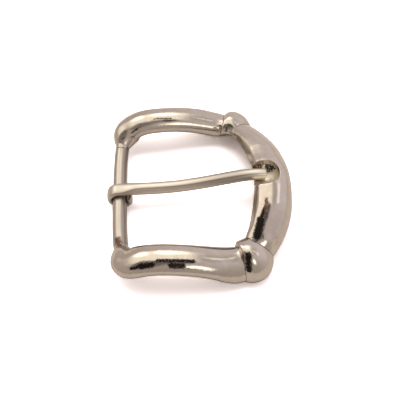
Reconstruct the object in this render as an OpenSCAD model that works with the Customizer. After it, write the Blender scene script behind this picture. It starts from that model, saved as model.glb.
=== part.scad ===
// Heel-bar belt buckle: one cast frame and one prong that turns on the frame's heel bar.
// Units are mm. +X runs from the heel bar to the crescent front, +Y along the heel bar, +Z up from the
// surface that the buckle lies on, face up. The origin is at the bottom centre of the bounding box.

/* [Heel bar] */
// Radius of the round heel bar
bar_r = 2.42; // [2:0.01:3]
// Half length of the straight middle of the bar, where the prong turns
bar_straight = 10; // [8:0.5:12]
// Bend radius of the bar's two end pieces
bar_bend_r = 60; // [30:1:90]
// How far each end piece bends before it is inside the limb, in degrees
bar_bend_deg = 11.5; // [8:0.5:18]
// Direction of that bend, in degrees above the horizontal
bar_bend_rise = 32; // [0:1:45]

/* [Limbs, beads and crescent] */
// Where on the path the limb's rounded shoulder starts, in rows of FRAME_ROWS
shoulder_at = 2.014; // [1.5:0.001:2.5]
// Length of the shoulder's rounding, in rows
shoulder_len = 1.2; // [0.6:0.05:2]
// Middle of the knuckle bead, in rows
bead_at = 8.69; // [8:0.01:9.5]
// Half length of the bead between its two creases, in rows
bead_half = 0.600; // [0.3:0.001:1]
// How far the bead swells past the limb
bead_swell = 2.62; // [1:0.01:3]
// Share of that swell that is taken back on the inner side
bead_inner_cut = 0.35; // [0:0.05:0.8]
// Squareness of the underside, 2 is round
under_square = 2.6; // [2:0.1:4]
// Share of the half width that the crescent's inner wall cuts off, which leaves a crisp edge
wall_cut = 0.07; // [0:0.005:0.3]
// Where on the path that wall starts, in rows
wall_from = 9.3; // [9:0.1:10]

/* [Prong seat] */
// Radius of the scooped seat in the crescent
seat_r = 4.44; // [3:0.01:6]
// Where the seat's round end is centred along X
seat_x = 23.11; // [20:0.01:26]
// Where the seat's axis is along Y
seat_y = -0.71; // [-1:0.01:1]
// Height of the seat's axis
seat_z = 14.79; // [12:0.01:17]

/* [Prong] */
// Radial clearance of the prong's loop on the heel bar
loop_clear = 0.1; // [0.05:0.01:0.4]
// Outer radius of the loop, which the buckle's rear also rests on
loop_r = 4.45; // [4:0.01:5]
// Half width of the loop along the bar
loop_half = 2.42; // [1.5:0.01:3]
// Rounding of the loop's outer edges
loop_round = 0.8; // [0.2:0.05:1.2]
// Where the prong sits along the bar
loop_y = 0.4; // [-3:0.1:3]

/* [Mesh] */
// Points round each section of the frame
frame_sides = 28; // [16:4:40]
// Points round each section of the prong's shaft
prong_sides = 20; // [12:2:32]

/* [Hidden] */
$fn = 64;

// Half of the frame's path, from the middle of the heel bar to the middle of the crescent. The other half is
// its mirror image. half is the half width, rise and drop the height above and below the path's line, and
// lean turns the section's inner side up, in degrees.
FRAME_ROWS = [
  // x       y      z     half  rise  drop  lean
  [-27.41,  0.00,  4.45, 4.40, 4.20, 3.60,  0.0],
  [-27.41,  9.90,  4.45, 4.40, 4.20, 3.60,  0.0],
  [-27.06, 20.10,  4.45, 4.40, 4.20, 3.60,  0.0],
  [-25.16, 26.55,  6.80, 5.30, 3.30, 3.45,  0.0],
  [-21.16, 27.65, 10.00, 5.10, 3.05, 3.55,  0.0],
  [-15.66, 27.70, 11.50, 4.95, 3.20, 3.40,  0.0],
  [ -4.26, 28.55, 10.35, 4.95, 3.25, 3.40,  0.0],
  [  4.54, 29.10,  7.58, 5.21, 3.16, 3.78, -1.5],
  [ 10.89, 29.49,  3.48, 6.26, 4.65, 3.82, 35.6],
  [ 17.05, 26.48,  5.50, 4.94, 2.39, 2.19, 30.4],
  [ 21.26, 18.95,  6.48, 7.13, 4.71, 0.80, 32.0],
  [ 24.13,  9.45,  6.06, 8.49, 7.59, 0.60, 43.3],
  [ 25.90,  0.00, 13.14, 6.00, 2.80, 2.20, 11.2],
];
F_HALF = 3;
F_RISE = 4;
F_DROP = 5;
F_LEAN = 6;

// The prong's shaft, from its root in the top of the loop to its tip in the seat. The first and the last row
// only steer the ends.
PRONG_ROWS = [
  // x      y     z     half  rise
  [-29.91, 0.40,  8.00, 2.35, 0.80],
  [-27.41, 0.40,  8.00, 2.35, 0.80],
  [-24.91, 0.40,  8.05, 2.25, 0.95],
  [-22.41, 0.40,  7.90, 2.10, 1.75],
  [-19.91, 0.38,  7.70, 2.00, 2.00],
  [ -9.91, 0.30,  7.40, 1.99, 1.99],
  [  0.09, 0.30,  8.65, 1.99, 1.99],
  [ 10.09, 0.30, 10.85, 1.99, 1.99],
  [ 16.09, 0.22, 12.10, 1.95, 1.90],
  [ 20.09, 0.12, 12.40, 1.80, 1.75],
  [ 22.99, 0.05, 12.20, 1.62, 1.60],
  [ 25.89, 0.00, 12.00, 1.44, 1.45],
];

BAR_X = FRAME_ROWS[0].x;
BAR_Z = FRAME_ROWS[0].z;
LAST = len(FRAME_ROWS) - 1;
LOOP_ROWS = 2 * LAST;

function clamp01(v) = max(0, min(1, v));
function unit(v) = v / norm(v);
function power(v, e) = v == 0 ? 0 : sign(v) * pow(abs(v), e);

// Row of the closed path; the far half mirrors the near one
function frame_row(i) =
  let (k = (i + LOOP_ROWS) % LOOP_ROWS, m = k <= LAST ? k : LOOP_ROWS - k, r = FRAME_ROWS[m])
  k <= LAST ? r : [r.x, -r.y, r.z, r[F_HALF], r[F_RISE], r[F_DROP], r[F_LEAN]];

// Weights of a uniform cubic B-spline, and of its slope
function weights(f) = [pow(1 - f, 3), 3 * pow(f, 3) - 6 * f * f + 4, -3 * pow(f, 3) + 3 * f * f + 3 * f + 1,
                       pow(f, 3)] / 6;
function slopes(f) = [-(1 - f) * (1 - f), 3 * f * f - 4 * f, -3 * f * f + 2 * f + 1, f * f] / 2;

function frame_mix(t, w) = let (i = floor(t))
  w[0] * frame_row(i - 1) + w[1] * frame_row(i) + w[2] * frame_row(i + 1) + w[3] * frame_row(i + 2);
function frame_at(t) = frame_mix(t, weights(t - floor(t)));
function frame_slope(t) = frame_mix(t, slopes(t - floor(t)));

// One section of the limbs, beads and crescent at path parameter t
function frame_section(t) =
  let (
    c = frame_at(t), d = frame_slope(t),
    pos = [c.x, c.y, c.z], ahead = unit([d.x, d.y, d.z]),
    flat_side = unit(cross(ahead, [0, 0, 1])), flat_up = cross(flat_side, ahead),
    lean = c[F_LEAN],
    side = flat_side * cos(lean) + flat_up * sin(lean),
    up = flat_up * cos(lean) - flat_side * sin(lean),
    near = min(t, LOOP_ROWS - t),
    q = clamp01((near - shoulder_at) / shoulder_len), cap = sqrt(1 - (1 - q) * (1 - q)),
    u = (near - bead_at) / bead_half, swell = bead_swell * max(1 - u * u, 0),
    e_low = 2 / (2 + (under_square - 2) * clamp01((near - shoulder_at) / 0.8)),
    s = clamp01((near - wall_from) / 0.6),
    wall = c[F_HALF] * cap * (1 - wall_cut * s * s * (3 - 2 * s))
  )
  [for (k = [0 : frame_sides - 1])
    let (
      a = 360 * k / frame_sides, cs = cos(a), sn = sin(a), high = sn >= 0,
      e = high ? 1 : e_low,
      w = (high ? 1 : 1 + sn) * (1 - bead_inner_cut * pow(max(cs, 0), 2))
    )
    pos + side * (min(c[F_HALF] * cap * power(cs, e), wall) + swell * w * cs)
        + up * ((high ? c[F_RISE] : c[F_DROP]) * cap * power(sn, e) + swell * max(sn, 0))];

// Path parameters of the sections on one half, crowded at the shoulder and at the bead's creases
crease_a = bead_at - bead_half;
crease_b = bead_at + bead_half;
limb_from = shoulder_at + shoulder_len;
half_path = concat(
  [for (i = [1 : 7]) shoulder_at + shoulder_len * (1 - cos(90 * i / 7))],
  [for (i = [1 : 24]) limb_from + (crease_a - limb_from) * i / 24],
  [for (i = [1 : 8]) bead_at - bead_half * cos(180 * i / 8)],
  [for (i = [1 : 13]) crease_b + (LAST - crease_b) * i / 13]
);
whole_path = concat(half_path, [for (i = [len(half_path) - 2 : -1 : 0]) LOOP_ROWS - half_path[i]]);

// Faces of a stack of rings with a point or a flat cap at each end
function band_faces(rings, sides) =
  [for (i = [0 : rings - 2], k = [0 : sides - 1])
    let (k2 = (k + 1) % sides, a = i * sides + k, b = i * sides + k2, c = a + sides, d = b + sides)
    each [[a, b, c], [b, d, c]]];

// Limbs, beads and crescent as one swept body with rounded ends
module swept_frame() {
  rings = [for (t = whole_path) frame_section(t)];
  count = len(rings);
  start = frame_at(shoulder_at);
  finish = frame_at(LOOP_ROWS - shoulder_at);
  tail = count * frame_sides;
  polyhedron(
    points = concat([for (r = rings) each r], [[start.x, start.y, start.z]], [[finish.x, finish.y, finish.z]]),
    faces = concat(
      band_faces(count, frame_sides),
      [for (k = [0 : frame_sides - 1]) [tail, (k + 1) % frame_sides, k]],
      [for (k = [0 : frame_sides - 1])
        [tail + 1, tail - frame_sides + k, tail - frame_sides + (k + 1) % frame_sides]]
    ),
    convexity = 8
  );
}

// Bent end piece of the heel bar, on the +Y side. It starts a little inside the straight middle and is a
// hair thinner, so that the two join cleanly.
module bar_end() {
  translate([BAR_X, bar_straight - 0.5, BAR_Z])
    rotate([0, -bar_bend_rise, 0])
      translate([bar_bend_r, 0, 0])
        rotate([0, 0, 180 - bar_bend_deg])
          rotate_extrude(angle = bar_bend_deg)
            translate([bar_bend_r, 0]) circle(r = bar_r - 0.02);
}

module heel_bar() {
  translate([BAR_X, 0, BAR_Z]) rotate([90, 0, 0]) cylinder(r = bar_r, h = 2 * bar_straight, center = true);
  bar_end();
  mirror([0, 1, 0]) bar_end();
}

// Cutter for the scooped seat, open towards the heel bar
module seat_cutter() {
  translate([seat_x, seat_y, seat_z]) sphere(r = seat_r);
  translate([seat_x, seat_y, seat_z]) rotate([0, -90, 0]) cylinder(r = seat_r, h = 20);
}

// One casting: heel bar, limbs, beads and crescent, with flats under the beads where it rests
module frame() {
  color([0.66, 0.62, 0.57])
    difference() {
      union() {
        swept_frame();
        heel_bar();
      }
      seat_cutter();
      translate([-50, -50, -10]) cube([100, 100, 10]);
    }
}

function prong_mix(i, w) =
  w[0] * PRONG_ROWS[i - 1] + w[1] * PRONG_ROWS[i] + w[2] * PRONG_ROWS[i + 1] + w[3] * PRONG_ROWS[i + 2];

// One section of the prong's shaft at parameter t, drawn in by shrink at the tip
function prong_section(t, shrink, along) =
  let (
    i = min(floor(t), len(PRONG_ROWS) - 3), f = t - i,
    c = prong_mix(i, weights(f)), d = prong_mix(i, slopes(f)),
    ahead = unit([d.x, d.y, d.z]), side = unit(cross(ahead, [0, 0, 1])), up = cross(side, ahead),
    pos = [c.x, c.y, c.z] + ahead * along
  )
  [for (k = [0 : prong_sides - 1])
    let (a = 360 * k / prong_sides)
    pos + side * ((c[3] - shrink) * cos(a)) + up * ((c[4] - shrink) * sin(a))];

module prong_shaft() {
  last = len(PRONG_ROWS) - 2;
  rings = concat(
    [for (i = [0 : 40]) prong_section(1 + (last - 1) * i / 40, 0, 0)],
    [prong_section(last, 0.15, 0.25), prong_section(last, 0.5, 0.4)]
  );
  count = len(rings);
  polyhedron(
    points = [for (r = rings) each r],
    faces = concat(
      band_faces(count, prong_sides),
      [[for (k = [prong_sides - 1 : -1 : 0]) k]],
      [[for (k = [0 : prong_sides - 1]) (count - 1) * prong_sides + k]]
    ),
    convexity = 4
  );
}

// The wire's flattened end, rolled round the heel bar
module prong_loop() {
  inner = bar_r + loop_clear;
  translate([BAR_X, loop_y, BAR_Z])
    rotate([90, 0, 0])
      rotate_extrude()
        union() {
          translate([inner, -loop_half]) square([loop_r - loop_round - inner, 2 * loop_half]);
          translate([inner, loop_round - loop_half])
            square([loop_r - inner, 2 * (loop_half - loop_round)]);
          for (s = [-1, 1])
            translate([loop_r - loop_round, s * (loop_half - loop_round)]) circle(r = loop_round);
        }
}

module prong() {
  color([0.66, 0.62, 0.57]) {
    prong_loop();
    prong_shaft();
  }
}

frame();
prong();
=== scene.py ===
"""Looks of the heel-bar belt buckle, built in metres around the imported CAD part."""

import logging
import math
from dataclasses import dataclass
from enum import Enum

import bpy
import numpy as np
from mathutils import Matrix, Vector


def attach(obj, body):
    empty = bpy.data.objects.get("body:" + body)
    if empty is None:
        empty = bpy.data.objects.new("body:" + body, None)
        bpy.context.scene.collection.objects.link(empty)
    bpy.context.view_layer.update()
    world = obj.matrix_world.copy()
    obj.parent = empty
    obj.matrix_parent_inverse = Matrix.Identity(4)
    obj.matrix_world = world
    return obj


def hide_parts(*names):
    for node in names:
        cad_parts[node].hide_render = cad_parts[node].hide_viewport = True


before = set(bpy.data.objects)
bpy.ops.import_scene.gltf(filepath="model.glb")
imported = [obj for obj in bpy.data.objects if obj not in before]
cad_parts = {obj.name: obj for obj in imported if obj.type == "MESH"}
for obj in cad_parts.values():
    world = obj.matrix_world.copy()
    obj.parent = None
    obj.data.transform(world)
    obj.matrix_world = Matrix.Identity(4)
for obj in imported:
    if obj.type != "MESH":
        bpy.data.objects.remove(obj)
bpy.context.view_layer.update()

MM = 0.001
TURN = 2.0 * math.pi
TINY = 1e-9
BELOW_ONE = 0.99999
log = logging.getLogger("buckle")

# Half of the casting's path in millimetres, from the middle of the heel bar to the middle of the crescent:
# x, y, z, half width, rise, drop, lean of the section in degrees. The other half is its mirror image.
CASTING_PATH = (
    (-27.41, 0.00, 4.45, 4.40, 4.20, 3.60, 0.0),
    (-27.41, 9.90, 4.45, 4.40, 4.20, 3.60, 0.0),
    (-27.06, 20.10, 4.45, 4.40, 4.20, 3.60, 0.0),
    (-25.16, 26.55, 6.80, 5.30, 3.30, 3.45, 0.0),
    (-21.16, 27.65, 10.00, 5.10, 3.05, 3.55, 0.0),
    (-15.66, 27.70, 11.50, 4.95, 3.20, 3.40, 0.0),
    (-4.26, 28.55, 10.35, 4.95, 3.25, 3.40, 0.0),
    (4.54, 29.10, 7.58, 5.21, 3.16, 3.78, -1.5),
    (10.89, 29.49, 3.48, 6.26, 4.65, 3.82, 35.6),
    (17.05, 26.48, 5.50, 4.94, 2.39, 2.19, 30.4),
    (21.26, 18.95, 6.48, 7.13, 4.71, 0.80, 32.0),
    (24.13, 9.45, 6.06, 8.49, 7.59, 0.60, 43.3),
    (25.90, 0.00, 13.14, 6.00, 2.80, 2.20, 11.2),
)

# The prong's shaft in millimetres: x, y, z, half width, half height. The first and last rows only steer.
SHAFT_PATH = (
    (-29.91, 0.40, 8.00, 2.35, 0.90),
    (-27.41, 0.40, 8.00, 2.35, 0.90),
    (-24.91, 0.40, 8.05, 2.25, 1.00),
    (-22.41, 0.40, 7.90, 2.10, 1.75),
    (-19.91, 0.38, 7.70, 2.00, 2.00),
    (-9.91, 0.30, 7.40, 1.99, 1.99),
    (0.09, 0.30, 8.65, 1.99, 1.99),
    (10.09, 0.30, 10.85, 1.99, 1.99),
    (16.09, 0.22, 12.10, 1.95, 1.90),
    (20.09, 0.12, 12.40, 1.80, 1.75),
    (22.99, 0.05, 12.20, 1.62, 1.60),
    (25.89, 0.00, 12.00, 1.44, 1.45),
)


# ---------------------------------------------------------------------------------------------- array geometry


def smooth_max(a: np.ndarray, b: np.ndarray | float, k: float) -> np.ndarray:
    """The larger of a and b, rounded over a width k: (a + b + sqrt((a - b)^2 + k^2)) / 2."""
    return (a + b + np.sqrt((a - b) ** 2 + k * k)) / 2


def smooth_min(a: np.ndarray, b: np.ndarray | float, k: float) -> np.ndarray:
    """The smaller of a and b, rounded over a width k."""
    return (a + b - np.sqrt((a - b) ** 2 + k * k)) / 2


def smooth_step(v: np.ndarray, low: float, high: float) -> np.ndarray:
    """0 below low, 1 above high, and 3 s^2 - 2 s^3 between them."""
    s = np.clip((v - low) / (high - low), 0.0, 1.0)
    return s * s * (3.0 - 2.0 * s)


def power(v: np.ndarray, e: np.ndarray | float) -> np.ndarray:
    """Signed power, sign(v) |v|^e, for superellipse sections."""
    return np.sign(v) * np.abs(v) ** e


def unit(v: np.ndarray) -> np.ndarray:
    """Vectors of length one along the last axis."""
    return v / np.linalg.norm(v, axis=-1, keepdims=True)


def spline(rows: np.ndarray, t: np.ndarray, closed: bool) -> tuple[np.ndarray, np.ndarray]:
    """Uniform cubic B-spline through a table of rows.

    Args:
        rows: one control row per line.
        t: parameters in rows, of any shape.
        closed: whether the last row is followed by the first.

    Returns:
        The blended rows and their slopes, each of t's shape with one more axis.
    """
    i = np.floor(t).astype(int)
    if not closed:
        i = np.clip(i, 1, len(rows) - 3)
    f = (t - i)[..., None]
    weights = ((1 - f) ** 3 / 6, (3 * f**3 - 6 * f * f + 4) / 6, (-3 * f**3 + 3 * f * f + 3 * f + 1) / 6, f**3 / 6)
    slopes = (-((1 - f) ** 2) / 2, (3 * f * f - 4 * f) / 2, (-3 * f * f + 2 * f + 1) / 2, f * f / 2)
    near = [rows[(i + k) % len(rows)] for k in (-1, 0, 1, 2)]
    return sum(w * r for w, r in zip(weights, near)), sum(w * r for w, r in zip(slopes, near))


def spread(points: np.ndarray, count: int) -> np.ndarray:
    """Resamples each row of points at equal steps of its own arc length.

    Args:
        points: rows of samples along a line, shape (rings, samples, channels); the first three are x, y, z.
        count: how many samples to keep, both ends included.

    Returns:
        An array of shape (rings, count, channels).
    """
    rings, samples, channels = points.shape
    step = np.linalg.norm(np.diff(points[..., :3], axis=1), axis=-1) + TINY
    along = np.concatenate([np.zeros((rings, 1)), np.cumsum(step, axis=1)], axis=1)
    along /= along[:, -1:]
    lift = 2.0 * np.arange(rings)[:, None]
    known, wanted = (along + lift).ravel(), (np.linspace(0, 1, count)[None] + lift).ravel()
    flat = points.reshape(-1, channels)
    resampled = np.stack([np.interp(wanted, known, flat[:, c]) for c in range(channels)], -1)
    return resampled.reshape(rings, count, channels)


def grid_faces(rings: int, sides: int, closed: bool) -> np.ndarray:
    """Quads of a grid of rings: (i, j), (i + 1, j), (i + 1, j + 1) and (i, j + 1).

    Args:
        rings: how many rings there are.
        sides: vertices of a ring, which closes on itself.
        closed: whether the last ring is joined to the first.

    Returns:
        Four vertex numbers a face, where vertex (i, j) has the number i * sides + j.
    """
    i = np.arange(rings if closed else rings - 1)[:, None]
    j = np.arange(sides)[None]
    following, beside = (i + 1) % rings, (j + 1) % sides
    corners = (i * sides + j, following * sides + j, following * sides + beside, i * sides + beside)
    return np.stack(corners, -1).reshape(-1, 4)


def mesh_object(name: str, points: np.ndarray, quads: np.ndarray, fans: list[tuple[int, np.ndarray]],
                masks: dict[str, np.ndarray]) -> bpy.types.Object:
    """Puts a grid into a smooth-shaded mesh object at the origin.

    Args:
        name: the object's name.
        points: vertex positions in millimetres.
        quads: four vertex numbers a face.
        fans: pairs of a pole's vertex number and the ring of vertices that it closes.
        masks: one value a vertex for each named attribute.

    Returns:
        The linked object.
    """
    tris = [np.stack([np.full(len(ring), pole), ring, np.roll(ring, -1)], -1) for pole, ring in fans]
    corners = np.concatenate([quads.ravel()] + [t.ravel() for t in tris]).astype(np.int32)
    sizes = np.concatenate([np.full(len(quads), 4)] + [np.full(len(t), 3) for t in tris]).astype(np.int32)
    mesh = bpy.data.meshes.new(name)
    mesh.vertices.add(len(points))
    mesh.vertices.foreach_set("co", (points * MM).astype(np.float32).ravel())
    mesh.loops.add(len(corners))
    mesh.loops.foreach_set("vertex_index", corners)
    mesh.polygons.add(len(sizes))
    mesh.polygons.foreach_set("loop_start", (np.cumsum(sizes) - sizes).astype(np.int32))
    mesh.polygons.foreach_set("use_smooth", np.ones(len(sizes), bool))
    mesh.update(calc_edges=True)
    mesh.validate()
    for key, values in masks.items():
        mesh.attributes.new(key, "FLOAT", "POINT").data.foreach_set("value", values.astype(np.float32).ravel())
    found = bpy.data.objects.new(name, mesh)
    bpy.context.scene.collection.objects.link(found)
    return found


# ---------------------------------------------------------------------------------------------- finishes


@dataclass(frozen=True)
class Swell:
    """A low rise in a surface: its middle and its outward direction in millimetres, its reach and its height."""

    middle: tuple[float, float, float]
    outward: tuple[float, float, float]
    reach: float
    height: float

    def apply(self, points: np.ndarray) -> np.ndarray:
        """Moves points outwards by height times exp(-(distance / reach)^2)."""
        away = np.linalg.norm(points - np.array(self.middle), axis=-1, keepdims=True)
        return points + unit(np.array(self.outward)) * self.height * np.exp(-((away / self.reach) ** 2))


@dataclass(frozen=True)
class LinePatch:
    """One patch along a short line for tarnish, rust, wear and painted reflection: two ends in millimetres, reach,
    strength.
    """

    start: tuple[float, float, float]
    end: tuple[float, float, float]
    reach: float
    strength: float

    def mask(self, points: np.ndarray) -> np.ndarray:
        """Strength times exp(-(distance from the line / reach)^2) at each point.

        Args:
            points: positions in millimetres, along the last axis.

        Returns:
            One value a point.
        """
        first, along = np.array(self.start), np.array(self.end) - np.array(self.start)
        share = np.clip(((points - first) @ along) / max(float(along @ along), TINY), 0.0, 1.0)
        away = np.linalg.norm(points - first - share[..., None] * along, axis=-1)
        return self.strength * np.exp(-((away / self.reach) ** 2))


def patch_mask(points: np.ndarray, patches: tuple[LinePatch, ...]) -> np.ndarray:
    """The strongest of several patches at each point."""
    return np.max([np.zeros(points.shape[:-1])] + [p.mask(points) for p in patches], axis=0)


class Relief(Enum):
    """How the metal's surface was left by its making."""

    CAST = "cast"
    DRAWN = "drawn"


class NodeKit:
    """Shader node groups that the finishes share, each built once."""

    _made: dict[str, bpy.types.NodeTree] = {}

    @staticmethod
    def empty(name: str, inputs: dict[str, tuple[str, object]], outputs: dict[str, str]) -> bpy.types.NodeTree:
        """An empty shader group with named sockets.

        Args:
            name: the group's name.
            inputs: for each input its type, such as Float, and its value, or None for the type's own.
            outputs: for each output its type.

        Returns:
            The group, without nodes.
        """
        tree = bpy.data.node_groups.new(name, "ShaderNodeTree")
        for key, (kind, value) in inputs.items():
            socket = tree.interface.new_socket(key, in_out="INPUT", socket_type=f"NodeSocket{kind}")
            if value is not None:
                socket.default_value = value
        for key, kind in outputs.items():
            tree.interface.new_socket(key, in_out="OUTPUT", socket_type=f"NodeSocket{kind}")
        return tree

    @classmethod
    def grain(cls) -> bpy.types.NodeTree:
        """Orange-peel relief: a fine noise and a wavy one, blended by Fine Share.

        Returns:
            A group that puts out Height for a Bump node, and the wavy noise as Tone for colour and roughness.
        """
        if "grain" not in cls._made:
            tree = cls.empty("metal_grain", {
                "Vector": ("Vector", None), "Fine Scale": ("Float", 2200.0), "Wave Scale": ("Float", 420.0),
                "Fine Share": ("Float", 0.55),
            }, {"Height": "Float", "Tone": "Float"})
            w = Wiring(tree)
            at = w.node("NodeGroupInput")
            fine = w.node("ShaderNodeTexNoise", {"Vector": at["Vector"], "Scale": at["Fine Scale"], "Detail": 3.0})
            wave = w.node("ShaderNodeTexNoise", {"Vector": at["Vector"], "Scale": at["Wave Scale"], "Detail": 2.0})
            height = w.mix_float(at["Fine Share"], wave["Fac"], fine["Fac"])
            w.node("NodeGroupOutput", {"Height": height, "Tone": wave["Fac"]})
            cls._made["grain"] = tree
        return cls._made["grain"]

    @classmethod
    def speckle(cls) -> bpy.types.NodeTree:
        """Ragged spots: noise that passes 1 - Placement is a spot, with an edge of twice Softness.

        Returns:
            A group that puts out Mask, 0 to 1.
        """
        if "speckle" not in cls._made:
            tree = cls.empty("ragged_speckle", {
                "Vector": ("Vector", None), "Placement": ("Float", 0.0), "Scale": ("Float", 1500.0),
                "Softness": ("Float", 0.08),
            }, {"Mask": "Float"})
            w = Wiring(tree)
            at = w.node("NodeGroupInput")
            noise = w.node("ShaderNodeTexNoise", {"Vector": at["Vector"], "Scale": at["Scale"], "Detail": 4.0,
                                                  "Roughness": 0.65})
            need = w.math("SUBTRACT", 1.0, at["Placement"])
            low = w.math("SUBTRACT", need, at["Softness"])
            high = w.math("ADD", need, at["Softness"])
            cut = w.node("ShaderNodeMapRange", {"Value": noise["Fac"], "From Min": low, "From Max": high})
            w.node("NodeGroupOutput", {"Mask": cut["Result"]})
            cls._made["speckle"] = tree
        return cls._made["speckle"]


class Wiring:
    """Short-hand for adding and joining nodes in one tree."""

    def __init__(self, tree: bpy.types.NodeTree) -> None:
        """Keeps the tree that the nodes go into."""
        self.tree = tree

    def _fill(self, socket: bpy.types.NodeSocket, value: object) -> None:
        """Links another node's output into an input socket, or gives the socket a value.

        Args:
            socket: the input socket.
            value: an output socket, a number or a colour.
        """
        if isinstance(value, bpy.types.NodeSocket):
            self.tree.links.new(value, socket)
        else:
            socket.default_value = value

    def node(self, kind: str, values: dict[str | int, object] | None = None,
             **fields: object) -> dict[str, bpy.types.NodeSocket]:
        """Adds a node.

        Args:
            kind: the node's type name.
            values: input sockets, by name or number, with a number, a colour, or another node's output to link.
            **fields: attributes of the node itself, such as operation or node_tree.

        Returns:
            The node's enabled output sockets by name.
        """
        made = self.tree.nodes.new(kind)
        for key, value in fields.items():
            setattr(made, key, value)
        for key, value in (values or {}).items():
            self._fill(made.inputs[key], value)
        found: dict[str, bpy.types.NodeSocket] = {}
        for out in made.outputs:
            if out.enabled and out.name not in found:
                found[out.name] = out
        return found

    def math(self, operation: str, *values: object) -> bpy.types.NodeSocket:
        """Adds a Math node.

        Args:
            operation: what it works out, such as ADD.
            *values: up to three numbers or output sockets.

        Returns:
            The result's socket.
        """
        made = self.tree.nodes.new("ShaderNodeMath")
        made.operation = operation
        for socket, value in zip(made.inputs, values):
            self._fill(socket, value)
        return made.outputs[0]

    def _mix(self, kind: str, share: object, a: object, b: object) -> bpy.types.NodeSocket:
        """Adds a Mix node: a (1 - share) + b share.

        Args:
            kind: the node's data type, FLOAT or RGBA.
            share: how much of b there is, 0 to 1.
            a: what is there at a share of 0.
            b: what is there at a share of 1.

        Returns:
            The result's socket.
        """
        made = self.tree.nodes.new("ShaderNodeMix")
        made.data_type = kind
        for socket, value in zip([s for s in made.inputs if s.enabled], (share, a, b)):
            self._fill(socket, value)
        return next(s for s in made.outputs if s.enabled)

    def mix_float(self, share: object, a: object, b: object) -> bpy.types.NodeSocket:
        """A blend of two numbers."""
        return self._mix("FLOAT", share, a, b)

    def mix_colour(self, share: object, a: object, b: object) -> bpy.types.NodeSocket:
        """A blend of two colours."""
        return self._mix("RGBA", share, a, b)


@dataclass(frozen=True)
class NickelPlate:
    """Bright nickel plate with grain, black painted shade in its creases, black tarnish, brown speckle and rust
    spots.

    The piece's masks place the marks: the black mask is tarnish in a few spots and elsewhere painted shade, in the
    creases and the seat, and the painted reflection of the dark surroundings; the brown mask is rust speckle, and
    painted shade on the seat's wall; satin is a duller polish, faded is greyer plate, and worn is the coarse
    yellowish metal of the seat.
    Both ramps are values of the grain's Tone.
    """

    name: str
    relief: Relief
    colour: tuple[float, float, float] = (0.62, 0.555, 0.49)
    shade: tuple[float, float, float] = (0.50, 0.445, 0.39)
    shade_share: float = 0.5
    shade_ramp: tuple[float, float] = (0.35, 0.75)
    dull: tuple[float, float, float] = (0.40, 0.36, 0.325)
    brass: tuple[float, float, float] = (0.96, 0.89, 0.77)
    # black for real tarnish, and for painted shade and the painted reflection of the dark surroundings
    tarnish_and_shade_black: tuple[float, float, float] = (0.022, 0.018, 0.017)
    # brown for real rust, and for painted shade on the seat's wall
    rust_and_painted_shade: tuple[float, float, float] = (0.12, 0.048, 0.030)
    brown_matt: float = 0.55
    dark_speckle_scale: float = 2400.0
    brown_speckle_scale: float = 2300.0
    roughness: float = 0.075
    roughness_spread: float = 0.06
    roughness_ramp: tuple[float, float] = (0.3, 0.8)
    satin: float = 0.30
    coarse: float = 0.42
    mark_roughness: float = 0.5
    bump: float = 0.10
    bump_distance: float = 0.0004
    drawn_stretch: tuple[float, float, float] = (0.12, 1.0, 1.0)

    def material(self) -> bpy.types.Material:
        """Builds the plate's material.

        Returns:
            A material that follows the grain and the masks.
        """
        made = bpy.data.materials.new(self.name)
        made.use_nodes = True
        made.node_tree.nodes.clear()
        w = Wiring(made.node_tree)
        place = w.node("ShaderNodeTexCoord")["Object"]
        if self.relief is Relief.DRAWN:
            place = w.node("ShaderNodeMapping", {"Vector": place, "Scale": self.drawn_stretch})["Vector"]
        grain = w.node("ShaderNodeGroup", {"Vector": place}, node_tree=NodeKit.grain())
        # the black mask holds tarnish, painted shade and painted reflection; the brown mask holds rust and painted
        # shade
        tarnish_and_painted_shade, rust_and_painted_shade, satin, faded, worn = (w.node("ShaderNodeAttribute", attribute_name=key)["Fac"]
                                          for key in ("tarnish_and_painted_shade", "rust_and_painted_shade", "satin", "faded", "worn"))
        dark, brown = (w.node("ShaderNodeGroup", {"Vector": place, "Placement": mask, "Scale": scale},
                              node_tree=NodeKit.speckle())["Mask"]
                       for mask, scale in ((tarnish_and_painted_shade, self.dark_speckle_scale), (rust_and_painted_shade, self.brown_speckle_scale)))
        marks = w.math("MAXIMUM", dark, brown)
        shaded, rough = (
            w.node("ShaderNodeMapRange", {"Value": grain["Tone"], "From Min": low, "From Max": high,
                                          "To Min": start, "To Max": start + gain})["Result"]
            for (low, high), start, gain in ((self.shade_ramp, 0.0, self.shade_share),
                                             (self.roughness_ramp, self.roughness, self.roughness_spread))
        )
        colour = (*self.colour, 1.0)
        for share, tint in ((shaded, self.shade), (faded, self.dull), (worn, self.brass), (dark, self.tarnish_and_shade_black),
                            (brown, self.rust_and_painted_shade)):
            colour = w.mix_colour(share, colour, (*tint, 1.0))
        for share, value in ((satin, self.satin), (worn, self.coarse), (marks, self.mark_roughness)):
            rough = w.mix_float(share, rough, value)
        metallic = w.math("SUBTRACT", 1.0, w.math("MULTIPLY", brown, self.brown_matt))
        bump = w.node("ShaderNodeBump", {"Strength": self.bump, "Distance": self.bump_distance,
                                         "Height": grain["Height"]})
        shader = w.node("ShaderNodeBsdfPrincipled", {"Base Color": colour, "Roughness": rough, "Metallic": metallic,
                                                     "Normal": bump["Normal"]})
        w.node("ShaderNodeOutputMaterial", {"Surface": shader["BSDF"]})
        return made


# ---------------------------------------------------------------------------------------------- the casting


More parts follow.
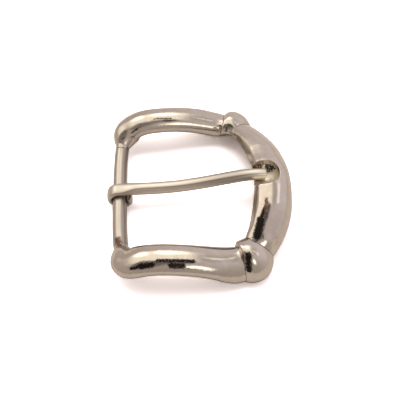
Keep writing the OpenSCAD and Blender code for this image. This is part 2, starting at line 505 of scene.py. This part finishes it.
@dataclass(frozen=True)
class Seat:
    """The scooped seat for the prong's tip: a round channel that ends in a quarter of a ball, in millimetres."""

    radius: float = 4.44
    x: float = 23.11
    y: float = -0.71
    z: float = 14.79
    rim: float = 0.34
    climb: float = 9.0
    carved_from: tuple[float, float] = (12.0, 7.0)
    bare_from: tuple[float, float] = (15.0, 9.0)
    bare_edge: tuple[float, float] = (-0.35, -0.05)
    wall_from: tuple[float, float] = (0.6, 2.6)
    # painted shade: the dark line under the rim, partly grime, and the black and brown painted shade on the +Y wall
    dark_line: tuple[float, float] = (-0.25, 0.2)
    wall_black_ramp: tuple[float, float] = (22.0, 24.0)
    line_shade_and_grime: float = 0.70
    wall_black_shade: float = 0.60
    wall_brown_shade: float = 0.58

    def across(self, x: np.ndarray, y: np.ndarray) -> np.ndarray:
        """Distance over the floor plane from the channel's line or, past its end, from the ball's middle."""
        return np.hypot(np.maximum(x - self.x, 0.0), y - self.y)

    def floor(self, x: np.ndarray, y: np.ndarray) -> np.ndarray:
        """Height of the seat's surface: z - sqrt(radius^2 - across^2), and a steep climb beyond the radius.

        Args:
            x: places along X in millimetres.
            y: places along Y in millimetres.

        Returns:
            Heights in millimetres.
        """
        rho = self.across(x, y)
        inside = self.z - np.sqrt(np.maximum(self.radius**2 - rho**2, 0.0))
        return inside + self.climb * np.maximum(rho - self.radius, 0.0)

    def carve(self, points: np.ndarray) -> np.ndarray:
        """Lowers what stands above the seat's floor to it, as the smooth minimum of both heights.

        Args:
            points: positions in millimetres, of which those behind or below carved_from stay.

        Returns:
            The positions with the seat cut into them.
        """
        low = self.floor(points[..., 0], points[..., 1])
        from_x, from_z = self.carved_from
        carved = points.copy()
        top = np.where(points[..., 0] > from_x, smooth_min(points[..., 2], low, self.rim), points[..., 2])
        carved[..., 2] = np.where(points[..., 2] > from_z, top, points[..., 2])
        return carved

    def masks(self, points: np.ndarray) -> dict[str, np.ndarray]:
        """Placement of the seat's bare metal, the dark line under its rim, which is painted shade with some grime,
        and the painted shade on its +Y wall.

        Args:
            points: positions in millimetres.

        Returns:
            The masks for bare metal, for black painted shade and for brown painted shade, each 0 to 1, with one value
            a point.
        """
        across = self.across(points[..., 0], points[..., 1])
        from_x, from_z = self.bare_from
        inner, outer = self.bare_edge
        bare = (1.0 - smooth_step(across, self.radius + inner, self.radius + outer)) * (points[..., 0] > from_x)
        bare = bare * (points[..., 2] > from_z)
        # the +Y wall, where the painted shade goes
        wall = bare * smooth_step(points[..., 1] - self.y, *self.wall_from)
        # the dark line under the rim: painted shade, partly grime
        offset, width = self.dark_line
        line = np.exp(-(((across - self.radius - offset) / width) ** 2)) * wall
        # black painted shade towards +X on the wall, brown painted shade towards -X
        right = smooth_step(points[..., 0], *self.wall_black_ramp)
        return {
            "worn": bare,
            "tarnish_and_painted_shade": np.maximum(self.line_shade_and_grime * line, self.wall_black_shade * wall * right),
            "rust_and_painted_shade": self.wall_brown_shade * wall * (1.0 - right),
        }


@dataclass(frozen=True)
class RingCounts:
    """Rings on each stretch of half the casting's path, in the order of the path."""

    bar: int = 20
    bar_end: int = 5
    shoulder: int = 26
    limb: int = 76
    limb_end: int = 7
    bead: int = 40
    arm_start: int = 8
    arm: int = 58
    seat: int = 58


@dataclass(frozen=True)
class CastFrame:
    """The one casting: heel bar, limbs, knuckle beads and crescent, as one surface swept along a closed path.

    Radii, swells and blends are in millimetres. Places and lengths along the path are in rows of CASTING_PATH, whose
    names end in at, from, ramp or length, and the crease pairs, painted shade along the creases, are a width in rows
    and a strength.
    """

    bar_radius: float = 2.42
    bar_fade: tuple[float, float] = (3.4, 4.4)
    shoulder_at: float = 2.014
    shoulder_length: float = 1.2
    shoulder_lead: float = 0.12
    bead_at: float = 8.69
    bead_half: float = 0.600
    bead_swell: float = 2.62
    bead_inner_cut: float = 0.35
    bead_lead: float = 0.1
    blend: float = 0.25
    under_square: float = 2.6
    under_ramp: float = 0.8
    wall_cut: float = 0.07
    wall_from: float = 9.3
    wall_ramp: float = 0.6
    wall_blend: float = 0.2
    row_pitch: float = 9.45
    seat_fan: float = 88.0
    flat_ramp: tuple[float, float] = (0.55, 1.25)
    flat_passes: int = 14
    fine_turns: tuple[float, float] = (-1.0 / 24.0, 0.375)
    sides_fine: int = 98
    sides_plain: int = 60
    samples: int = 720
    ring_counts: RingCounts = RingCounts()
    seat: Seat = Seat()
    # painted shade along the creases: width in rows and strength of a black line
    bead_crease_shade: tuple[float, float] = (0.03, 0.56)
    shoulder_crease_shade: tuple[float, float] = (0.04, 0.54)
    bar_edge: tuple[float, float] = (-0.05, 0.25)
    bar_faded: float = 0.8
    swells: tuple[Swell, ...] = (
        Swell((20.4, -23.6, 9.2), (0.38, -0.48, 0.79), 1.9, 0.34),
        Swell((23.2, -23.4, 7.5), (0.54, -0.54, 0.65), 1.3, -0.16),
    )
    satin_patches: tuple[LinePatch, ...] = (
        LinePatch((19.7, 14.4, 12.8), (21.6, 8.7, 14.2), 3.0, 1.0),
        LinePatch((-26.3, 21.5, 8.0), (-20.4, 23.4, 11.8), 2.4, 1.0),
        LinePatch((-20.4, 23.4, 11.8), (-12.0, 24.6, 13.3), 2.0, 1.0),
    )
    tarnish_and_painted_reflection_patches: tuple[LinePatch, ...] = (
        # painted reflection: the black streak that the dark surroundings leave along the lower limb
        LinePatch((-22.4, -30.6, 11.9), (-19.0, -30.6, 13.1), 0.9, 0.70),
        LinePatch((-19.6, -30.5, 12.9), (-16.0, -30.6, 13.7), 1.45, 0.76),
        LinePatch((-10.4, -31.1, 13.4), (-6.8, -31.4, 13.0), 1.5, 0.72),
        LinePatch((-14.4, -29.6, 14.1), (-3.4, -30.2, 13.0), 1.0, 0.68),
        LinePatch((-5.9, -32.1, 12.5), (-0.5, -32.5, 11.3), 0.4, 0.58),
        # painted reflection: black blotches on the lower crescent arm and the lower bead
        LinePatch((17.3, -22.1, 10.4), (19.0, -17.4, 11.9), 2.0, 0.80),
        LinePatch((19.1, -17.0, 12.1), (20.7, -13.6, 13.0), 1.2, 0.68),
        LinePatch((13.6, -28.6, 10.6), (13.4, -32.2, 7.8), 1.7, 0.74),
        # a dark spot on the upper bead
        LinePatch((12.5, 23.0, 9.8), (12.2, 22.4, 9.0), 0.9, 0.60),
        # painted reflection: the thin black line along the upper limb
        LinePatch((-26.3, 22.1, 8.5), (-20.4, 23.5, 11.9), 0.7, 0.58),
        LinePatch((-20.4, 23.5, 11.9), (-12.9, 26.1, 14.0), 0.6, 0.60),
        LinePatch((-12.9, 26.1, 14.0), (-7.8, 26.1, 13.5), 0.6, 0.60),
        # tarnish at the bar's lower end and at the upper limb's end
        LinePatch((-28.0, -17.8, 6.8), (-27.0, -20.4, 7.2), 1.4, 0.58),
        LinePatch((8.0, 24.0, 8.0), (11.0, 23.6, 7.5), 1.2, 0.44),
    )
    rust_patches: tuple[LinePatch, ...] = (
        LinePatch((20.9, -14.4, 13.0), (21.6, -10.8, 13.8), 1.1, 0.62),
        LinePatch((-27.4, -18.0, 7.0), (-26.6, -20.8, 7.6), 1.9, 0.62),
        LinePatch((12.8, -28.0, 10.1), (13.2, -29.0, 9.6), 0.8, 0.50),
        LinePatch((7.5, 24.5, 8.6), (10.8, 24.0, 7.8), 1.5, 0.52),
        LinePatch((-13.0, -31.0, 13.5), (-5.0, -31.5, 12.6), 1.5, 0.36),
    )

    @property
    def rows(self) -> np.ndarray:
        """The closed table of path rows: the half table and its mirror image."""
        half = np.array(CASTING_PATH)
        return np.vstack([half, half[1:-1][::-1] * np.array((1, -1, 1, 1, 1, 1, 1))])

    @property
    def count(self) -> int:
        """Rows of the closed path."""
        return 2 * len(CASTING_PATH) - 2

    def surface(self, t: np.ndarray, angle: np.ndarray) -> np.ndarray:
        """Point of the casting at path parameter t and section angle.

        The section is half an ellipse over a squarer superellipse, in the plane across the path and turned by the
        row's lean. The bead adds swell (1 - u^2) outwards, and a wall cuts the crescent's inner side to a crisp edge.

        Args:
            t: path parameter in rows, any shape.
            angle: section angle in radians, of the same shape; 0 is the inner side and a quarter turn is the top.

        Returns:
            Positions in millimetres, with one more axis.
        """
        row, slope = spline(self.rows, t, closed=True)
        ahead = unit(slope[..., :3])
        side = unit(np.cross(ahead, (0.0, 0.0, 1.0)))
        up = np.cross(side, ahead)
        lean = np.radians(row[..., 6:7])
        side, up = side * np.cos(lean) + up * np.sin(lean), up * np.cos(lean) - side * np.sin(lean)
        near = np.minimum(t % self.count, self.count - t % self.count)
        q = np.clip((near - self.shoulder_at) / self.shoulder_length, 0.0, 1.0)
        cap = np.sqrt(1.0 - (1.0 - q) ** 2)
        bar = self.bar_radius * (1.0 - smooth_step(near, *self.bar_fade))
        half, rise, drop = (smooth_max(row[..., k] * cap, bar, self.blend) for k in (3, 4, 5))
        u = (near - self.bead_at) / self.bead_half
        swell = self.bead_swell * np.maximum(1.0 - u * u, 0.0)
        square = np.clip((near - self.shoulder_at) / self.under_ramp, 0.0, 1.0)
        low = 2.0 / (2.0 + (self.under_square - 2.0) * square)
        cs, sn = np.cos(angle), np.sin(angle)
        high = sn >= -TINY
        bend = np.where(high, 1.0, low)
        across = half * power(cs, bend)
        wall = smooth_step(near, self.wall_from, self.wall_from + self.wall_ramp)
        across = smooth_min(across, half * (1.0 - self.wall_cut * wall), self.wall_blend * wall)
        over = np.where(high, rise, drop) * power(sn, bend)
        weight = np.where(high, 1.0, 1.0 + sn) * (1.0 - self.bead_inner_cut * np.maximum(cs, 0.0) ** 2)
        across = across + swell * weight * cs
        over = over + swell * weight * np.maximum(sn, 0.0)
        return row[..., :3] + side * across[..., None] + up * over[..., None]

    def stations(self) -> tuple[np.ndarray, np.ndarray]:
        """Where the rings stand.

        Returns:
            Path parameters round the whole loop, and for each the share, 0 to 1, by which the ring is turned flat
            into a plane of constant y, which lines the rings up with the seat.
        """
        n = self.ring_counts
        bar_end, shoulder_end = self.shoulder_at - self.shoulder_lead, self.shoulder_at + self.shoulder_length
        first, last = self.bead_at - self.bead_half, self.bead_at + self.bead_half
        limb_end, arm_start = first - self.bead_lead, last + self.bead_lead
        end = self.count / 2
        fan = np.radians(np.linspace(self.seat_fan, 0.0, n.seat))
        seat = end - (self.seat.radius + abs(self.seat.y)) * np.sin(fan) / self.row_pitch
        shoulder_fan = np.linspace(0, TURN / 4, n.shoulder, endpoint=False)
        half = np.concatenate([
            np.linspace(0.0, bar_end, n.bar, endpoint=False),
            np.linspace(bar_end, self.shoulder_at, n.bar_end, endpoint=False),
            self.shoulder_at + self.shoulder_length * (1 - np.cos(shoulder_fan)),
            np.linspace(shoulder_end, limb_end, n.limb, endpoint=False),
            np.linspace(limb_end, first, n.limb_end, endpoint=False),
            self.bead_at - self.bead_half * np.cos(np.linspace(0, TURN / 2, n.bead)),
            np.linspace(last, arm_start, n.arm_start)[1:],
            np.linspace(arm_start, seat[0], n.arm)[1:-1],
            seat,
        ])
        whole = np.concatenate([half, self.count - half[1:-1][::-1]])
        flat = 1.0 - smooth_step(np.abs(whole - end), *self.flat_ramp)
        return whole, flat

    def rings(self) -> tuple[np.ndarray, np.ndarray]:
        """The casting's rings, carved and evened out.

        Returns:
            Positions in millimetres, shape (rings, sides, 3), and the path parameter of each ring.
        """
        t, flat = self.stations()
        start, fine_end = (turns * TURN for turns in self.fine_turns)
        angle = start + np.linspace(0.0, TURN, self.samples + 1)
        grid_t = np.repeat(t[:, None], len(angle), 1)
        grid_a = np.repeat(angle[None], len(t), 0)
        middle = spline(self.rows, t, closed=True)[0][:, 1]
        zone = flat > 0
        solved = grid_t[zone]
        for _ in range(self.flat_passes):
            y = self.surface(solved, grid_a[zone])[..., 1]
            solved = solved + (y - middle[zone][:, None]) / self.row_pitch
        grid_t[zone] += flat[zone][:, None] * (solved - grid_t[zone])
        points = self.surface(grid_t, grid_a)
        for swell in self.swells:
            points = swell.apply(points)
        points = self.seat.carve(points)
        points[..., 2] = np.maximum(points[..., 2], 0.0)
        split = int(round((fine_end - start) / TURN * self.samples))
        fine = spread(points[:, : split + 1], self.sides_fine + 1)[:, :-1]
        plain = spread(points[:, split:], self.sides_plain + 1)[:, :-1]
        return np.concatenate([fine, plain], axis=1), t

    def masks(self, points: np.ndarray, t: np.ndarray) -> dict[str, np.ndarray]:
        """Placement over the rings, each 0 to 1, of black (tarnish, painted shade and painted reflection), brown
        (rust and painted shade), satin, fading and wear.

        Args:
            points: the rings' positions in millimetres.
            t: the rings' path parameters.

        Returns:
            One value a vertex for each attribute that the finish reads.
        """
        near = np.minimum(t, self.count - t)[:, None]
        creases = (
            (self.bead_at - self.bead_half, *self.bead_crease_shade),
            (self.bead_at + self.bead_half, *self.bead_crease_shade),
            (self.shoulder_at, *self.shoulder_crease_shade),
        )
        # painted shade: a black line along the bead's and the shoulder's creases
        crease_shade = sum(peak * np.exp(-(((near - at) / width) ** 2)) for at, width, peak in creases)
        low, high = self.bar_edge
        bar = 1.0 - smooth_step(near, self.shoulder_at + low, self.shoulder_at + high)
        bar = np.repeat(bar, points.shape[1], 1)
        seat = self.seat.masks(points)
        return {
            "tarnish_and_painted_shade": np.maximum(np.maximum(patch_mask(points, self.tarnish_and_painted_reflection_patches), seat["tarnish_and_painted_shade"]), crease_shade),
            "rust_and_painted_shade": np.maximum(patch_mask(points, self.rust_patches), seat["rust_and_painted_shade"]),
            "satin": np.maximum(bar, patch_mask(points, self.satin_patches)),
            "faded": self.bar_faded * bar,
            "worn": seat["worn"],
        }

    def build(self, finish: NickelPlate) -> bpy.types.Object:
        """Makes the casting's object and gives it its finish.

        Args:
            finish: the plate that covers it.

        Returns:
            The object, riding on the frame body in place of the CAD solid.
        """
        points, t = self.rings()
        rings, sides = points.shape[:2]
        made = mesh_object("cast_frame", points.reshape(-1, 3), grid_faces(rings, sides, closed=True), [],
                           self.masks(points, t))
        made.data.materials.append(finish.material())
        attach(made, "frame")
        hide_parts("frame")
        return made


# ---------------------------------------------------------------------------------------------- the prong


@dataclass(frozen=True)
class WireProng:
    """One drawn wire: its flattened end rolled round the heel bar, its shaft, and its squared tip in the seat.

    Lengths are in millimetres and turns in degrees. The roll starts roll_drift beside its own middle, settles there
    within the share roll_settled of its length, and blends into the shaft over the last part, from roll_join on.
    """

    bar_x: float = -27.41
    bar_z: float = 4.45
    roll_y: float = 0.4
    roll_radius: float = 3.485
    roll_half: float = 2.40
    roll_thick: float = 0.94
    roll_square: float = 2.9
    roll_turns: tuple[float, float] = (18.0, -270.0)
    roll_drift: float = -0.9
    roll_settled: float = 0.62
    roll_join: float = 0.82
    join_radius: float = 3.558
    join_narrower: float = 0.05
    join_thinner: float = 0.03
    shaft_square: float = 2.5
    end_square: float = 0.4
    root_ramp: tuple[float, float] = (-26.5, -20.5)
    tip_ramp: tuple[float, float] = (18.5, 21.5)
    roll_samples: int = 150
    shaft_samples: int = 260
    ring_count: int = 520
    end_rings: int = 5
    start_rounding: float = 0.22
    tip_rounding: float = 0.18
    sides: int = 56
    faded_root: float = 0.30
    faded_root_ramp: tuple[float, float] = (-26.0, -20.0)
    faded_front: float = 0.75
    faded_front_ramp: tuple[float, float] = (-6.0, 9.0)
    worn_tip: float = 0.35
    worn_ramp: tuple[float, float] = (12.0, 22.0)
    tarnish_and_painted_reflection_patches: tuple[LinePatch, ...] = (
        LinePatch((-17.5, -1.4, 6.6), (-11.5, -1.5, 6.4), 0.6, 0.50),
        LinePatch((-24.0, 1.6, 7.2), (-21.5, 1.6, 7.0), 0.6, 0.46),
        LinePatch((-6.0, 2.0, 7.7), (-5.2, 2.0, 7.8), 0.5, 0.50),
    )

    def centreline(self) -> np.ndarray:
        """Middle of the wire: an arc round the heel bar that widens into the shaft, then the shaft's spline.

        Returns:
            Rows of x, y, z, half width, half height and squareness, from the rolled end to the tip.
        """
        turn = np.radians(np.linspace(*self.roll_turns, self.roll_samples, endpoint=False))
        part = np.linspace(0.0, 1.0, len(turn), endpoint=False)
        join = smooth_step(part, self.roll_join, 1.0)
        radius = self.roll_radius + (self.join_radius - self.roll_radius) * join
        roll = np.stack([
            self.bar_x + radius * np.cos(turn),
            self.roll_y + self.roll_drift * (1.0 - smooth_step(part, 0.0, self.roll_settled)),
            self.bar_z + radius * np.sin(turn),
            self.roll_half - self.join_narrower * join,
            self.roll_thick - self.join_thinner * join,
            np.full_like(turn, self.roll_square),
        ], -1)
        rows = np.array(SHAFT_PATH)
        t = np.linspace(1.0, len(rows) - 2 - 1e-6, self.shaft_samples)
        shaft = spline(rows, t, closed=False)[0]
        root = 1.0 - smooth_step(shaft[:, 0], *self.root_ramp)
        tip = smooth_step(shaft[:, 0], *self.tip_ramp)
        square = self.shaft_square + self.end_square * root + self.end_square * tip
        return np.vstack([roll, np.column_stack([shaft, square])])

    def masks(self, points: np.ndarray) -> dict[str, np.ndarray]:
        """Placement of tarnish, satin, fading and wear over the wire, by patches and by ramps along X.

        Args:
            points: positions in millimetres, one a row.

        Returns:
            One value, 0 to 1, a vertex for each attribute that the finish reads.
        """
        x = points[:, 0]
        return {
            "tarnish_and_painted_shade": patch_mask(points, self.tarnish_and_painted_reflection_patches),
            "rust_and_painted_shade": np.zeros(len(points)),
            "satin": np.ones(len(points)),
            "faded": np.maximum(self.faded_front * smooth_step(x, *self.faded_front_ramp),
                                self.faded_root * (1.0 - smooth_step(x, *self.faded_root_ramp))),
            "worn": self.worn_tip * smooth_step(x, *self.worn_ramp),
        }

    def rings(self) -> np.ndarray:
        """Sections across the centre line.

        The section is |a / half|^n + |b / height|^n = 1, and both ends are drawn in over a short rounding.

        Returns:
            Positions in millimetres, shape (rings, sides, 3).
        """
        line = spread(self.centreline()[None], self.ring_count)[0]
        ends = []
        for edge, ahead, sign, depth in ((line[0], line[1] - line[0], -1, self.start_rounding),
                                         (line[-1], line[-1] - line[-2], 1, self.tip_rounding)):
            a = np.linspace(0, TURN / 4, self.end_rings + 1)[1:]
            cap = np.repeat(edge[None], self.end_rings, 0)
            cap[:, :3] += sign * unit(ahead[:3]) * depth * np.sin(a)[:, None]
            cap[:, 3:5] -= depth * (1 - np.cos(a))[:, None]
            ends.append(cap[::-1] if sign < 0 else cap)
        tangent = unit(np.gradient(line[:, :3], axis=0))
        before, after = (np.repeat(edge[None], self.end_rings, 0) for edge in (tangent[0], tangent[-1]))
        tangent = np.vstack([before, tangent, after])
        line = np.vstack([ends[0], line, ends[1]])
        side = unit(np.array((0.0, -1.0, 0.0)) - tangent * -tangent[:, 1:2])
        up = np.cross(side, tangent)
        angle = np.linspace(0.0, TURN, self.sides, endpoint=False)[None]
        bend = 2.0 / line[:, 5:6]
        across = line[:, 3:4] * power(np.cos(angle), bend)
        over = line[:, 4:5] * power(np.sin(angle), bend)
        return line[:, None, :3] + side[:, None] * across[..., None] + up[:, None] * over[..., None]

    def build(self, finish: NickelPlate) -> bpy.types.Object:
        """Makes the prong's object and gives it its finish.

        Args:
            finish: the plate that covers it.

        Returns:
            The object, riding on the prong body in place of the CAD solid.
        """
        points = self.rings()
        rings, sides = points.shape[:2]
        poles = np.stack([points[0].mean(0), points[-1].mean(0)])
        everything = np.vstack([points.reshape(-1, 3), poles])
        ring = np.arange(sides)
        fans = [(rings * sides, ring[::-1]), (rings * sides + 1, (rings - 1) * sides + ring)]
        made = mesh_object("wire_prong", everything, grid_faces(rings, sides, closed=False), fans,
                           self.masks(everything))
        made.data.materials.append(finish.material())
        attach(made, "prong")
        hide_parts("prong")
        return made


# ---------------------------------------------------------------------------------------------- the studio


@dataclass(frozen=True)
class SkyPatch:
    """One soft ellipse, or rounded rectangle, in the surroundings, in degrees from the zenith along X and Y."""

    x: float
    y: float
    wide: float
    tall: float
    turn: float
    soft: float
    colour: tuple[float, float, float]
    square: float = 2.0


@dataclass(frozen=True)
class Studio:
    """Pale floor, soft surroundings with a light from above, and the camera.

    The eye is in millimetres, and the floor and the lamp are in metres. The sky's base colour runs from sky_left to
    sky_right along X, and turns into sky_front towards -Y.
    """

    eye: tuple[float, float, float] = (-4.419, -83.072, 138.118)
    right: tuple[float, float, float] = (0.99701, -0.07672, -0.00924)
    up: tuple[float, float, float] = (0.07068, 0.85699, 0.51047)
    lens: float = 40.161
    sensor: float = 36.0
    clip: tuple[float, float] = (0.005, 20.0)
    floor_half: float = 3.0
    paper_reflected: tuple[float, float, float] = (0.60, 0.565, 0.54)
    paper_seen: tuple[float, float, float] = (1.78, 1.74, 1.83)
    lamp_place: tuple[float, float, float] = (-0.02, 0.13, 0.38)
    lamp_size: tuple[float, float] = (0.26, 0.20)
    lamp_watts: float = 0.80
    lamp_colour: tuple[float, float, float] = (1.0, 0.96, 0.93)
    sky_left: tuple[float, float, float] = (0.60, 0.53, 0.48)
    sky_right: tuple[float, float, float] = (0.84, 0.78, 0.80)
    sky_front: tuple[float, float, float] = (0.50, 0.44, 0.40)
    across_ramp: tuple[float, float] = (-0.8, 0.8)
    front_ramp: tuple[float, float] = (0.2, -0.9)
    patches: tuple[SkyPatch, ...] = (
        SkyPatch(-16, 21, 42, 26, 0, 0.24, (1.44, 1.34, 1.17), 4.0),
        SkyPatch(-33, 37, 13, 9, 0, 0.7, (3.0, 2.9, 2.6)),
        SkyPatch(4, 38, 13, 9, 0, 0.7, (2.8, 2.7, 2.4)),
        SkyPatch(-29, -17, 31, 20, 10, 0.20, (0.21, 0.185, 0.165)),
        SkyPatch(6, -8, 14, 11, 0, 0.16, (0.12, 0.10, 0.085)),
        SkyPatch(35, 16, 10, 20, 0, 0.5, (0.62, 0.56, 0.53)),
        SkyPatch(23, -39, 12, 13, 35, 0.35, (2.4, 2.3, 2.1)),
        SkyPatch(50, 9, 4, 6, 0, 0.9, (1.6, 1.6, 1.65)),
        SkyPatch(37, 18, 7, 2.5, 40, 0.6, (1.6, 1.55, 1.5)),
    )

    def camera(self) -> None:
        """Makes the scene's camera at the photograph's angle: it looks along up x right, with up squared to right."""
        data = bpy.data.cameras.new("camera")
        data.sensor_width, data.lens = self.sensor, self.lens
        data.clip_start, data.clip_end = self.clip
        made = bpy.data.objects.new("camera", data)
        bpy.context.scene.collection.objects.link(made)
        right = Vector(self.right).normalized()
        up = Vector(self.up)
        up = (up - right * up.dot(right)).normalized()
        turn = Matrix((right, up, right.cross(up))).transposed()
        made.matrix_world = Matrix.Translation(Vector(self.eye) * MM) @ turn.to_4x4()
        bpy.context.scene.camera = made

    def floor(self) -> None:
        """Makes the floor, whose paper is brighter to the camera than in the metal's reflections."""
        mesh = bpy.data.meshes.new("floor")
        half = self.floor_half
        mesh.from_pydata([(-half, -half, 0), (half, -half, 0), (half, half, 0), (-half, half, 0)], [], [(0, 1, 2, 3)])
        made = bpy.data.objects.new("floor", mesh)
        bpy.context.scene.collection.objects.link(made)
        paper = bpy.data.materials.new("white_paper")
        paper.use_nodes = True
        paper.node_tree.nodes.clear()
        w = Wiring(paper.node_tree)
        seen = w.node("ShaderNodeLightPath")["Is Camera Ray"]
        colour = w.mix_colour(seen, (*self.paper_reflected, 1.0), (*self.paper_seen, 1.0))
        shader = w.node("ShaderNodeBsdfDiffuse", {"Color": colour})
        w.node("ShaderNodeOutputMaterial", {"Surface": shader["BSDF"]})
        mesh.materials.append(paper)

    @staticmethod
    def _patch_group() -> bpy.types.NodeTree:
        """Lays one soft ellipse of colour over a base colour at a place in the sky.

        After a turn about Centre the distance is (|x / Wide|^n + |y / Tall|^n)^(1/n), where n is Square, and the
        colour fades out between 1 - Soft and 1 + Soft.

        Returns:
            A group that puts out Colour.
        """
        tree = NodeKit.empty("sky_patch", {
            "Place": ("Vector", None), "Centre": ("Vector", None), "Turn": ("Float", 0.0), "Wide": ("Float", 10.0),
            "Tall": ("Float", 10.0), "Soft": ("Float", 0.5), "Square": ("Float", 2.0), "Base": ("Color", None),
            "Colour": ("Color", None),
        }, {"Colour": "Color"})
        w = Wiring(tree)
        at = w.node("NodeGroupInput")
        away = w.node("ShaderNodeVectorMath", {0: at["Place"], 1: at["Centre"]}, operation="SUBTRACT")["Vector"]
        turned = w.node("ShaderNodeVectorRotate", {"Vector": away, "Angle": at["Turn"]},
                        rotation_type="Z_AXIS")["Vector"]
        xyz = w.node("ShaderNodeSeparateXYZ", {0: turned})
        x, y = (w.math("POWER", w.math("ABSOLUTE", w.math("DIVIDE", xyz[axis], at[reach])), at["Square"])
                for axis, reach in (("X", "Wide"), ("Y", "Tall")))
        r = w.math("POWER", w.math("ADD", x, y), w.math("DIVIDE", 1.0, at["Square"]))
        low = w.math("SUBTRACT", 1.0, at["Soft"])
        high = w.math("ADD", 1.0, at["Soft"])
        mask = w.node("ShaderNodeMapRange", {"Value": r, "From Min": low, "From Max": high, "To Min": 1.0,
                                             "To Max": 0.0}, interpolation_type="SMOOTHSTEP")["Result"]
        w.node("NodeGroupOutput", {"Colour": w.mix_colour(mask, at["Base"], at["Colour"])})
        return tree

    def surroundings(self) -> None:
        """Makes the world: a gradient with soft patches, and plain white where the camera looks past the floor.

        A ray's place in the sky is its angle from the zenith in degrees, laid out along X and Y by its heading.
        """
        world = bpy.data.worlds.new("surroundings")
        bpy.context.scene.world = world
        world.use_nodes = True
        world.node_tree.nodes.clear()
        w = Wiring(world.node_tree)
        ray = w.node("ShaderNodeTexCoord")["Generated"]
        xyz = w.node("ShaderNodeSeparateXYZ", {0: ray})
        tilt = w.math("ARCCOSINE", w.math("MULTIPLY", xyz["Z"], BELOW_ONE))
        scale = w.math("DIVIDE", w.math("MULTIPLY", tilt, 180.0 / math.pi), w.math("SINE", tilt))
        flat = w.node("ShaderNodeCombineXYZ", {"X": w.math("MULTIPLY", xyz["X"], scale),
                                               "Y": w.math("MULTIPLY", xyz["Y"], scale)})["Vector"]
        across, front = (
            w.node("ShaderNodeMapRange", {"Value": xyz[axis], "From Min": start, "From Max": end},
                   interpolation_type="SMOOTHSTEP")["Result"]
            for axis, (start, end) in (("X", self.across_ramp), ("Y", self.front_ramp))
        )
        base = w.mix_colour(across, (*self.sky_left, 1.0), (*self.sky_right, 1.0))
        base = w.mix_colour(front, base, (*self.sky_front, 1.0))
        group = self._patch_group()
        for p in self.patches:
            base = w.node("ShaderNodeGroup", {
                "Place": flat, "Centre": (p.x, p.y, 0.0), "Turn": math.radians(p.turn), "Wide": p.wide,
                "Tall": p.tall, "Soft": p.soft, "Square": p.square, "Base": base, "Colour": (*p.colour, 1.0),
            }, node_tree=group)["Colour"]
        seen = w.node("ShaderNodeLightPath")["Is Camera Ray"]
        colour = w.mix_colour(seen, base, (1.0, 1.0, 1.0, 1.0))
        shader = w.node("ShaderNodeBackground", {"Color": colour, "Strength": 1.0})
        w.node("ShaderNodeOutputWorld", {"Surface": shader["Background"]})

    def lamp(self) -> None:
        """Makes the one soft light from above and behind, which shapes the shadows but stays out of reflections."""
        data = bpy.data.lights.new("overhead", "AREA")
        data.shape = "RECTANGLE"
        data.size, data.size_y = self.lamp_size
        data.energy = self.lamp_watts
        data.color = self.lamp_colour
        made = bpy.data.objects.new("overhead", data)
        bpy.context.scene.collection.objects.link(made)
        made.location = self.lamp_place
        made.rotation_euler = (-Vector(self.lamp_place)).to_track_quat("-Z", "Y").to_euler()
        made.visible_glossy = False


def main() -> None:
    """Builds the pieces and the studio in order."""
    logging.basicConfig(level=logging.INFO, format="%(name)s: %(message)s")
    scene = bpy.context.scene
    scene.view_settings.view_transform = "Standard"
    scene.view_settings.look = "None"
    casting = CastFrame().build(NickelPlate("nickel_on_casting", Relief.CAST))
    prong = WireProng().build(NickelPlate("nickel_on_wire", Relief.DRAWN, colour=(0.64, 0.575, 0.505),
                                          shade=(0.53, 0.47, 0.41), satin=0.32))
    for made in (casting, prong):
        log.info("%s: %d vertices, %d faces", made.name, len(made.data.vertices), len(made.data.polygons))
    studio = Studio()
    studio.camera()
    studio.floor()
    studio.surroundings()
    studio.lamp()


if __name__ == "__main__":
    main()
